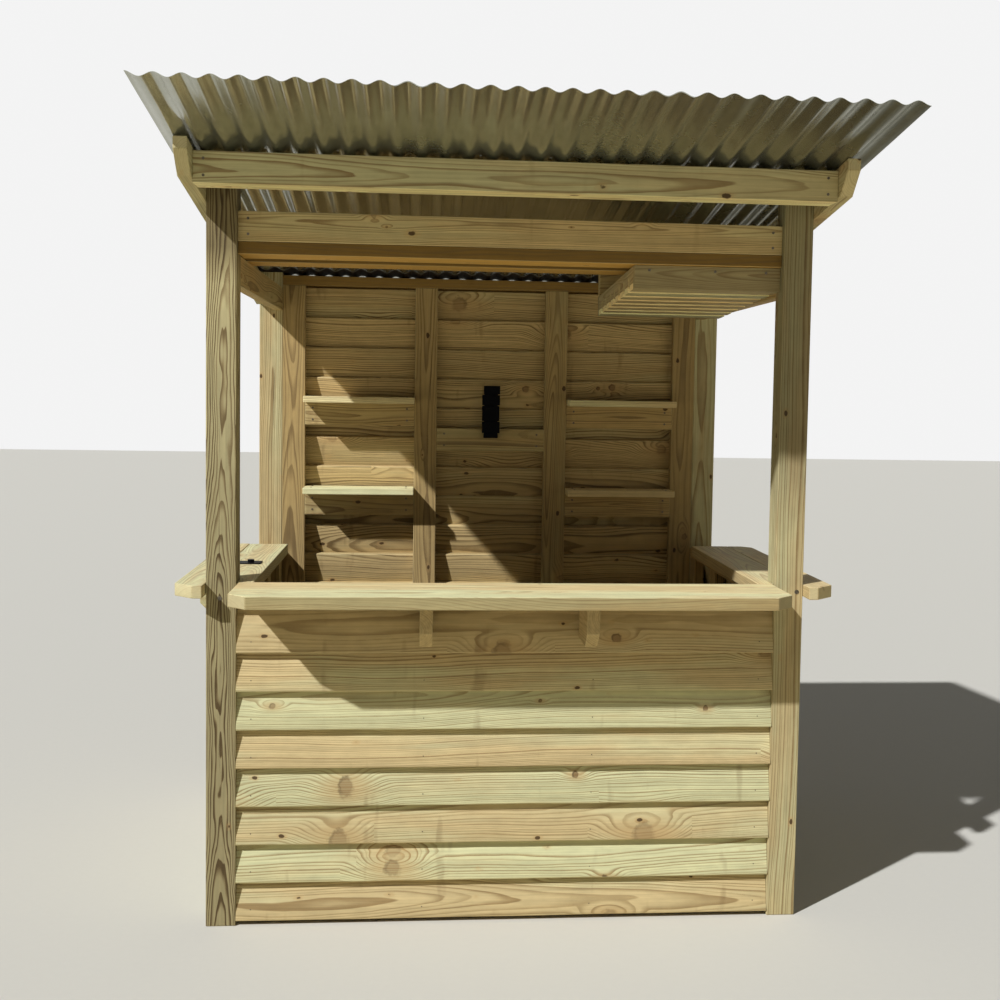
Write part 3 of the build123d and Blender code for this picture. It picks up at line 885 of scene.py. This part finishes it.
def on_points(tree, given, head):
    """A screw head on each point, facing the way that the point's aim attribute gives."""
    aim = recall(tree, "aim", VECTOR)
    facing = put(tree, "FunctionNodeAlignRotationToVector", {"Vector": aim}, axis="Z")
    heads = geo(tree, "InstanceOnPoints", {"Points": given["Points"], "Instance": head, "Rotation": facing})
    return end_tree(heads, given["Material"])


def cylinder(tree, sides, radius, depth):
    return geo(tree, "MeshCylinder", {"Vertices": sides, "Radius": radius, "Depth": depth})


def screw_heads():
    """The heads of deck screws and nails, with a star recess."""
    tree, given, radius, height = head_tree("screw_heads")
    outline = geo(tree, "CurvePrimitiveCircle", {"Resolution": DECK_SIDES, "Radius": radius})
    inputs = {"Points": STAR_POINTS, "Inner Radius": radius * STAR_INNER, "Outer Radius": radius * STAR_OUTER}
    star = geo(tree, "CurveStar", inputs)
    ring = geo(tree, "FillCurve", {"Curve": joined(outline, star)})
    half_up = xyz(0.0, 0.0, height * 0.5)
    rim = moved(thickened(ring, half_up), half_up)
    return on_points(tree, given, joined(rim, cylinder(tree, DECK_SIDES, radius, height)))


def roofing_heads():
    """The hexagon heads of roofing screws, each on its washer."""
    tree, given, radius, height = head_tree("roofing_heads")
    washer = cylinder(tree, WASHER_SIDES, radius, height * WASHER_HIGH)
    return on_points(tree, given, joined(washer, cylinder(tree, HEX_SIDES, radius * HEX_RADIUS, height)))


def aimed_points(name, places):
    """A mesh of loose points, each with the way that its fastener faces."""
    mesh = bpy.data.meshes.new(name)
    mesh.from_pydata([tuple(place) for place, _ in places], [], [])
    aim = mesh.attributes.new("aim", VECTOR, "POINT")
    for i, (_, way) in enumerate(places):
        aim.data[i].vector = way
    return mesh


# Height, tone and warmth up the front posts: the left post is damp and darker at the foot and darker and warmer at
# the top, and the right post is painted darker from 1.2 m up, a painted shadow of the roof
LEFT_POST_TONES = ((0.5, 0.82, 0.12), (1.1, 0.86, 0.05), (1.6, 1.12, 0.0), (1.95, 1.25, 0.0), (2.05, 0.6, 0.4))
RIGHT_POST_PAINTED_SHADOW = ((1.2, 1.0, 0.0), (1.5, 0.64, 0.0))


class BarOperator:
    """What every operator of the bar shares."""

    bl_options = {"REGISTER", "UNDO"}


class BAR_OT_posts(BarOperator, bpy.types.Operator):
    """Make the four posts"""

    bl_idname = "bar.posts"
    bl_label = "Posts"

    def execute(self, context):
        lumber("post_front_left", UP, BACK, "dark_post_pine", pith=(0.0, 0.006), shade=(1.0, 1.0),
               levels=LEFT_POST_TONES)
        lumber("post_front_right", UP, BACK, "post_pine", pith=(0.08, 0.09), lean=1.57, shade=(1.0, 1.0),
               levels=RIGHT_POST_PAINTED_SHADOW)
        for node in ("post_back_left", "post_back_right"):
            lumber(node, UP, BACK, "post_pine", pith=(0.024, 0.05), shade=(1.06, 1.16))
        return {"FINISHED"}


class BAR_OT_roof_frame(BarOperator, bpy.types.Operator):
    """Make the rafters and the eave beams"""

    bl_idname = "bar.roof_frame"
    bl_label = "Roof frame"

    def execute(self, context):
        fall = sizes().roof_fall
        down = (0, math.cos(fall), -math.sin(fall))
        for node in ("rafter_left", "rafter_right"):
            lumber(node, down, RIGHT, "roof_frame_pine")
        # under paints the beam's underside lighter, as painted light from the floor
        lumber("eave_beam_front", RIGHT, BACK, "roof_frame_pine", pith=(0.022, 0.034), under=1.6)
        lumber("eave_beam_rear", RIGHT, BACK, "roof_frame_pine")
        return {"FINISHED"}


class BAR_OT_headers(BarOperator, bpy.types.Operator):
    """Make the header, the plates across the front and the top rails along the sides"""

    bl_idname = "bar.headers"
    bl_label = "Headers"

    def execute(self, context):
        # under paints the undersides of the header and the plates lighter, as painted light from the floor
        lumber("header", RIGHT, BACK, "roof_frame_pine", pith=(0.03, 0.05), shade=(1.12, 1.16), under=1.25)
        lumber("header_plate", RIGHT, UP, "heart_pine", shade=(0.52, 0.52), under=2.8)
        lumber("inner_plate", RIGHT, UP, "heart_pine", shade=(0.55, 0.55), under=2.3)
        for node in ("top_rail_left", "top_rail_right"):
            lumber(node, BACK, RIGHT, "frame_pine")
        return {"FINISHED"}


class BAR_OT_wall_frames(BarOperator, bpy.types.Operator):
    """Make the plates, bottom rails and studs of the four walls"""

    bl_idname = "bar.wall_frames"
    bl_label = "Wall frames"

    def execute(self, context):
        for wall, along, out in (("front", RIGHT, BACK), ("back", RIGHT, BACK), ("left", BACK, RIGHT),
                                 ("right", BACK, RIGHT)):
            if wall == "back":
                lumber("back_wall_plate", along, UP, "heart_pine", shade=(0.72, 0.72))
            else:
                lumber(f"{wall}_wall_plate", along, UP, "frame_pine")
            lumber(f"{wall}_wall_bottom_rail", along, out, "frame_pine")
            lumber(f"{wall}_wall_studs", UP, out, "frame_pine", shade=(0.82, 0.94))
        lumber("middle_rail", RIGHT, BACK, "frame_pine")
        return {"FINISHED"}


class LapWall:
    """The way that the lap boards of one wall face, and how far they lean out from it."""

    def __init__(self, turn, box):
        spin = Matrix.Rotation(turn, 3, "Z")
        size = sizes()
        self.outward, self.along = spin @ -BACK, spin @ RIGHT
        self.thick, self.wide = size.board_thick, size.board_wide
        self.deep = abs((box[1] - box[0]).dot(self.outward))
        tip = math.atan2(self.thick, self.wide)
        self.lean = math.asin(self.deep / math.hypot(self.thick, self.wide)) - tip

    def top_edge(self, box):
        """The middle of the inner top edge of the highest board in a box."""
        edge = (box[0] + box[1]) / 2 - self.outward * self.deep / 2
        edge.z = box[1].z - self.thick * math.sin(self.lean)
        return edge


# Each wall, how far its boards are turned from the front wall's, and the seed of their grain
WALLS = (("front", 0.0, 3536), ("right", QUARTER_TURN, 4), ("back", 2 * QUARTER_TURN, 5),
         ("left", 3 * QUARTER_TURN, 6))


class BAR_OT_lap_boards(BarOperator, bpy.types.Operator):
    """Make the lap boards of the four walls"""

    bl_idname = "bar.lap_boards"
    bl_label = "Lap boards"

    def execute(self, context):
        size = sizes()
        for wall, turn, seed in WALLS:
            node = f"{wall}_wall_boards"
            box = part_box(node)
            reach = box[1] - box[0]
            row = LapWall(turn, box)
            board_high = row.wide * math.cos(row.lean) + row.thick * math.sin(row.lean)
            count = len(solid_boxes(node))
            kind, tones = ("back_board_pine", (1.02, 1.18)) if wall == "back" else ("board_pine", (0.92, 1.06))
            values = {"Count": count, "Length": abs(reach.dot(row.along)), "Width": row.wide,
                      "Thickness": row.thick, "Edge Radius": size.board_round, "Lean": -row.lean,
                      "Step": (0.0, 0.0, -(reach.z - board_high) / (count - 1)), "Place": row.top_edge(box),
                      "Turn": turn, "Bow": size.bow, "Wave": size.board_wave, "Pith Near": 0.05,
                      "Pith Far": 0.13, "Shade Low": tones[0], "Shade High": tones[1],
                      "Wide Face Painted Shade": 0.0, "Seed": seed}
            grow(f"{node}_timber", board_row, values, timber(kind), node)
        return {"FINISHED"}


class BAR_OT_counters(BarOperator, bpy.types.Operator):
    """Make the front counter, the side counters and their brackets"""

    bl_idname = "bar.counters"
    bl_label = "Counters and brackets"

    def execute(self, context):
        lumber("front_counter", RIGHT, UP, "counter_pine", pith=(0.05, 0.1), shade=(1.32, 1.38),
               sides=(0.6, 0.45))
        lumber("front_brackets", BACK, RIGHT, "bracket_pine", shade=(0.8, 0.9))
        for side in ("left", "right"):
            lumber(f"{side}_counter", BACK, UP, "counter_pine", pith=(0.05, 0.1), shade=(1.18, 1.24),
                   sides=(0.8, 0.2))
            lumber(f"{side}_brackets", RIGHT, BACK, "bracket_pine", shade=(0.8, 0.9))
        return {"FINISHED"}


class BAR_OT_shelves(BarOperator, bpy.types.Operator):
    """Make the shelves on the back wall and the ledgers under them"""

    bl_idname = "bar.shelves"
    bl_label = "Shelves"

    def execute(self, context):
        for side in ("left", "right"):
            lumber(f"shelves_{side}", RIGHT, UP, "shelf_pine", pith=(0.05, 0.1), shade=(1.32, 1.42))
            lumber(f"ledgers_{side}", RIGHT, BACK, "frame_pine")
        return {"FINISHED"}


class BAR_OT_glass_rack(BarOperator, bpy.types.Operator):
    """Make the glass rack under the header, with its slats and hanger"""

    bl_idname = "bar.glass_rack"
    bl_label = "Glass rack"

    def execute(self, context):
        size = sizes()
        fall = size.rack_fall
        down = Vector((0, math.cos(fall), -math.sin(fall)))
        for node in ("rack_front_board", "rack_back_board"):
            lumber(node, RIGHT, BACK, "rack_pine", ease=size.fine_ease, shade=(0.56, 0.62))
        for node in ("rack_left_board", "rack_right_board"):
            lumber(node, down, RIGHT, "rack_pine", ease=size.fine_ease, shade=(0.74, 0.8))
        lumber("rack_hanger", RIGHT, BACK, "frame_pine")
        boxes = sorted(solid_boxes("rack_slats"), key=lambda box: box[0].y)
        (low, high), (last_low, _) = boxes[0], boxes[-1]
        place = Vector(((low.x + high.x) / 2, low.y + size.slat_thick * math.sin(fall), high.z))
        # Painted light: the slats are painted lighter and their wide faces darker, for lit narrow edges and shaded
        # undersides
        values = {"Count": len(boxes), "Length": high.x - low.x, "Width": size.slat_wide,
                  "Thickness": size.slat_thick, "Edge Radius": size.slat_round, "Lean": QUARTER_TURN - fall,
                  "Step": (last_low - low) / (len(boxes) - 1), "Place": place, "Turn": 0.0, "Bow": 0.0,
                  "Wave": size.slat_wave, "Pith Near": 0.03, "Pith Far": 0.08, "Shade Low": 1.65,
                  "Shade High": 1.75, "Wide Face Painted Shade": 0.6, "Seed": 11}
        grow("rack_slats_timber", board_row, values, timber("rack_pine"), "rack_slats")
        return {"FINISHED"}


# Where each roof sheet starts in a corrugation: 0 in a valley, 0.5 on a crest
SHEET_PHASES = {"left": 0.5, "middle": 0.0, "right": 0.0}


class BAR_OT_roof_sheets(BarOperator, bpy.types.Operator):
    """Make the three corrugated roof sheets"""

    bl_idname = "bar.roof_sheets"
    bl_label = "Roof sheets"

    def execute(self, context):
        size = sizes()
        for side, phase in SHEET_PHASES.items():
            node = f"roof_sheet_{side}"
            low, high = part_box(node)
            values = {"Waves": size.sheet_waves, "Pitch": (high.x - low.x) / size.sheet_waves, "Phase": phase,
                      "Height": size.wave_high, "Length": high.y - low.y, "Thickness": size.sheet_thick,
                      "Fall": size.roof_fall, "Dents": size.sheet_dent,
                      "Place": Vector((low.x, low.y, high.z - size.wave_high - size.sheet_thick))}
            grow(f"{node}_steel", corrugated_sheet, values, finish(galvanised_steel), node)
        return {"FINISHED"}


class BAR_OT_fittings(BarOperator, bpy.types.Operator):
    """Make the black strip on the back wall and the black strap on the left counter"""

    bl_idname = "bar.fittings"
    bl_label = "Black fittings"

    def execute(self, context):
        for node, ease in (("wall_strip", sizes().fine_ease), ("counter_strap", sizes().strap_ease)):
            mesh = merged_copy(node)
            ease_edges(mesh, ease, FITTING_SHARP)
            show_edited(f"{node}_moulding", mesh, finish(black_plastic), node)
        return {"FINISHED"}


# How high the heads of screws, nails and roofing screws stand
HEAD_HIGH = 0.0012
NAIL_HIGH = 0.0008
BOLT_HIGH = 0.006
# A pair of screws lies this far from the end, and this share of the width off the middle
END_INSET = 0.03
PAIR_SPREAD = 0.26
# Screws along the rack's front board, and how far they lie under its top
RACK_SCREWS = (0.1, 0.55, 0.9)
RACK_SCREW_DROP = 0.016
# Screws in a rafter: how far under its top, and for each of a pair its share of the width and its lift
RAFTER_SCREW_DROP = 0.045
RAFTER_PAIR = ((0.3, -0.018), (0.7, 0.018))
# A nail lies this far above a board's lower edge, and roofing screws hold every third crest
NAIL_UP = 0.034
BOLT_PROUD = 0.0008
CRESTS_APART = 3
# Screws of the front posts: distance from the post's left side, and height
POST_SCREWS = {"post_front_left": ((0.041, 1.007),), "post_front_right": ((0.043, 1.016), (0.069, 1.031))}


def screw_pairs(node, ends, across, out):
    """Two screws near each end of each length of a node, on the face that looks out."""
    found = []
    for low, high in solid_boxes(node):
        centre, half = (low + high) / 2, (high - low) / 2
        face = centre + out * abs(half.dot(out))
        for end in (-1, 1):
            for side in (-1, 1):
                shift = ends * end * (abs(half.dot(ends)) - END_INSET)
                spread = across * side * abs(half.dot(across)) * 2 * PAIR_SPREAD
                found.append((face + shift + spread, out))
    return found


class BAR_OT_fasteners(BarOperator, bpy.types.Operator):
    """Put screws in the frame, nails in the lap boards and roofing screws in the roof"""

    bl_idname = "bar.fasteners"
    bl_label = "Fasteners"

    def execute(self, context):
        size = sizes()
        for name, places, radius, height, slot in (
                ("frame_screws", self.frame_screws(), size.screw_radius, HEAD_HIGH, "roof_frame"),
                ("post_screws", self.post_screws(), size.lag_radius, HEAD_HIGH, "posts"),
                ("shelf_screws", self.shelf_screws(), size.screw_radius, HEAD_HIGH, "inside"),
                ("board_nails", self.board_nails(), size.nail_radius, NAIL_HIGH, "boards"),
                ("roofing_screws", self.roofing_screws(), size.bolt_radius, BOLT_HIGH, "roof_sheet")):
            roof = slot == "roof_sheet"
            heads, steel = (roofing_heads, bright_steel) if roof else (screw_heads, coated_steel)
            grow(name, heads, {"Radius": radius, "Height": height}, finish(steel), slot=slot,
                 points=aimed_points(f"{name}_points", places))
        return {"FINISHED"}

    def frame_screws(self):
        """Screws of the header, rafters, eave beams, middle rail, ledgers and rack."""
        places = []
        for node in ("header", "eave_beam_front", "middle_rail"):
            places += screw_pairs(node, RIGHT, UP, -BACK)
        for side in ("left", "right"):
            places += screw_pairs(f"ledgers_{side}", RIGHT, UP, -BACK)
            places += self.rafter_screws(side)
        low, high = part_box("rack_front_board")
        for share in RACK_SCREWS:
            x = low.x + (high.x - low.x) * share
            places.append((Vector((x, low.y, high.z - RACK_SCREW_DROP)), -BACK))
        return places

    def rafter_screws(self, side):
        """Screws through a rafter into the posts and the eave beams."""
        low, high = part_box(f"rafter_{side}")
        x, way = (low.x, -RIGHT) if side == "left" else (high.x, RIGHT)
        fall = math.tan(sizes().roof_fall)
        places = []
        for node in ("post_front_left", "post_back_left", "eave_beam_front", "eave_beam_rear"):
            behind_low, behind_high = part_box(node)
            for share, lift in RAFTER_PAIR:
                y = behind_low.y + (behind_high.y - behind_low.y) * share
                z = high.z - fall * (y - low.y) - RAFTER_SCREW_DROP + lift
                places.append((Vector((x, y, z)), way))
        return places

    def post_screws(self):
        """Large screws through the front posts into the frame under the counters."""
        places = []
        for node, spots in POST_SCREWS.items():
            low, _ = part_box(node)
            places += [(Vector((low.x + x, low.y, z)), -BACK) for x, z in spots]
        return places

    def shelf_screws(self):
        """Screws down through the shelves."""
        return screw_pairs("shelves_left", RIGHT, BACK, UP) + screw_pairs("shelves_right", RIGHT, BACK, UP)

    def board_nails(self):
        """A nail low down in each lap board over each stud."""
        places = []
        for wall, turn, _ in WALLS:
            boxes = solid_boxes(f"{wall}_wall_boards")
            row = LapWall(turn, boxes[0])
            way = row.outward * math.cos(row.lean) + UP * math.sin(row.lean)
            down = row.outward * math.sin(row.lean) - UP * math.cos(row.lean)
            for box in boxes:
                centre = (box[0] + box[1]) / 2
                for low, high in solid_boxes(f"{wall}_wall_studs"):
                    shift = ((low + high) / 2 - centre).dot(row.along)
                    on_top = row.top_edge(box) + row.along * shift + way * row.thick
                    places.append((on_top + down * (row.wide - NAIL_UP), way))
        return places

    def roofing_screws(self):
        """Screws with washers on the crests above the two eave beams."""
        size = sizes()
        sheets = [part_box(f"roof_sheet_{side}") for side in SHEET_PHASES]
        low, high = sheets[0]
        pitch = (high.x - low.x) / size.sheet_waves
        fall = math.tan(size.roof_fall)
        up = Vector((0, math.sin(size.roof_fall), math.cos(size.roof_fall)))
        places = []
        for node in ("eave_beam_front", "eave_beam_rear"):
            beam_low, beam_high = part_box(node)
            y = (beam_low.y + beam_high.y) / 2
            crest = low.x + pitch
            while crest < sheets[-1][1].x - pitch / 2:
                top = max(sheet[1].z for sheet in sheets if sheet[0].x - MERGE < crest < sheet[1].x + MERGE)
                places.append((Vector((crest, y, top - fall * (y - low.y) + BOLT_PROUD)), up))
                crest += CRESTS_APART * pitch
        return places


# The camera as it was fitted to the photograph: place, angles, lens and shift
CAMERA_PLACE = Vector((-0.27675, -4.41184, 1.63354))
CAMERA_YAW = 0.0908
CAMERA_PITCH = -0.0629
CAMERA_ROLL = 0.0165
CAMERA_LENS = 46.72
CAMERA_SHIFT = (-0.0388, -0.0241)
FLOOR_HALF = 30.0
FLOOR_DROP = 0.0005
SUN_FROM_LEFT = math.radians(49)
SUN_HIGH = math.radians(40)
SUN_WIDE = math.radians(1.2)
SUN_STRENGTH = 3.9
SUN_COLOUR = (1.0, 0.985, 0.95)
SKY_COLOUR = (1.0, 0.94, 0.76, 1.0)
SKY_STRENGTH = 0.08
SEEN_BACKGROUND = (0.90, 0.90, 0.90, 1.0)


def seen_rays(tree):
    """1 for the rays that show the background, in the camera or in a reflection, and 0 for its light."""
    camera, glossy, through = (put(tree, "ShaderNodeLightPath", output=f"Is {kind} Ray")
                               for kind in ("Camera", "Glossy", "Transmission"))
    return calc("MAXIMUM", camera, calc("MAXIMUM", glossy, through))


class BAR_OT_stage(BarOperator, bpy.types.Operator):
    """Make the floor, the lights and the camera"""

    bl_idname = "bar.stage"
    bl_label = "Stage"

    def execute(self, context):
        scene = context.scene
        scene.view_settings.view_transform = "Standard"
        self.floor(scene)
        self.lights(scene)
        self.camera(scene)
        return {"FINISHED"}

    def floor(self, scene):
        """A wide pale floor, just under the posts."""
        mesh = bpy.data.meshes.new("floor")
        around = ((-1, -1), (1, -1), (1, 1), (-1, 1))
        mesh.from_pydata([(x * FLOOR_HALF, y * FLOOR_HALF, -FLOOR_DROP) for x, y in around], [], [(0, 1, 2, 3)])
        material, tree, surface = new_material("pale_floor")
        speckle = cloud(object_place(tree), 40.0, 4.0)
        base = blend(speckle * 0.12, looks().floor, looks().floor_speck)
        base = blend(seen_rays(tree), looks().bounce, base)
        feed(surface, {"Base Color": base, "Roughness": 0.85})
        mesh.materials.append(material)
        floor = bpy.data.objects.new("floor", mesh)
        scene.collection.objects.link(floor)

    def lights(self, scene):
        """A soft key light from the left of the front, and an even sky."""
        key = bpy.data.lights.new("key", "SUN")
        key.energy, key.angle, key.color = SUN_STRENGTH, SUN_WIDE, SUN_COLOUR
        lamp = bpy.data.objects.new("key", key)
        flat = math.cos(SUN_HIGH)
        way = Vector((math.sin(SUN_FROM_LEFT) * flat, math.cos(SUN_FROM_LEFT) * flat, -math.sin(SUN_HIGH)))
        lamp.rotation_euler = way.to_track_quat("-Z", "Y").to_euler()
        scene.collection.objects.link(lamp)
        world = bpy.data.worlds.new("studio")
        world.use_nodes = True
        tree = world.node_tree
        tree.nodes.clear()
        sky = put(tree, "ShaderNodeBackground", {"Color": SKY_COLOUR, "Strength": SKY_STRENGTH})
        pale = put(tree, "ShaderNodeBackground", {"Color": SEEN_BACKGROUND, "Strength": 1.0})
        put(tree, "ShaderNodeOutputWorld", (put(tree, "ShaderNodeMixShader", (seen_rays(tree), sky, pale)),))
        scene.world = world

    def camera(self, scene):
        """The camera, at the height and angle of the photograph."""
        data = bpy.data.cameras.new("camera")
        data.lens = CAMERA_LENS
        data.shift_x, data.shift_y = CAMERA_SHIFT
        camera = bpy.data.objects.new("camera", data)
        turn = Matrix.Rotation(-CAMERA_YAW, 4, "Z") @ Matrix.Rotation(QUARTER_TURN + CAMERA_PITCH, 4, "X")
        camera.matrix_world = Matrix.Translation(CAMERA_PLACE) @ turn @ Matrix.Rotation(CAMERA_ROLL, 4, "Z")
        scene.collection.objects.link(camera)
        scene.camera = camera


OPERATORS = (BAR_OT_posts, BAR_OT_roof_frame, BAR_OT_headers, BAR_OT_wall_frames, BAR_OT_lap_boards,
             BAR_OT_counters, BAR_OT_shelves, BAR_OT_glass_rack, BAR_OT_roof_sheets, BAR_OT_fittings,
             BAR_OT_fasteners, BAR_OT_stage)


class BAR_PT_sidebar(bpy.types.Panel):
    """Sizes, colours and operators of the bar"""

    bl_idname = "BAR_PT_sidebar"
    bl_label = "Outdoor Bar"
    bl_space_type = "VIEW_3D"
    bl_region_type = "UI"
    bl_category = "Bar"

    def draw(self, context):
        layout = self.layout
        for group in (context.scene.bar_sizes, context.scene.bar_looks):
            for key in group.__annotations__:
                layout.prop(group, key)
        for operator in OPERATORS:
            layout.operator(operator.bl_idname)


CLASSES = (BarSizes, BarLooks, *OPERATORS, BAR_PT_sidebar)


def register():
    for item in CLASSES:
        bpy.utils.register_class(item)
    bpy.types.Scene.bar_sizes = PointerProperty(type=BarSizes)
    bpy.types.Scene.bar_looks = PointerProperty(type=BarLooks)


def unregister():
    del bpy.types.Scene.bar_looks
    del bpy.types.Scene.bar_sizes
    for item in reversed(CLASSES):
        bpy.utils.unregister_class(item)


def main():
    register()
    for operator in OPERATORS:
        group, action = operator.bl_idname.split(".")
        getattr(getattr(bpy.ops, group), action)()


if __name__ == "__main__":
    main()
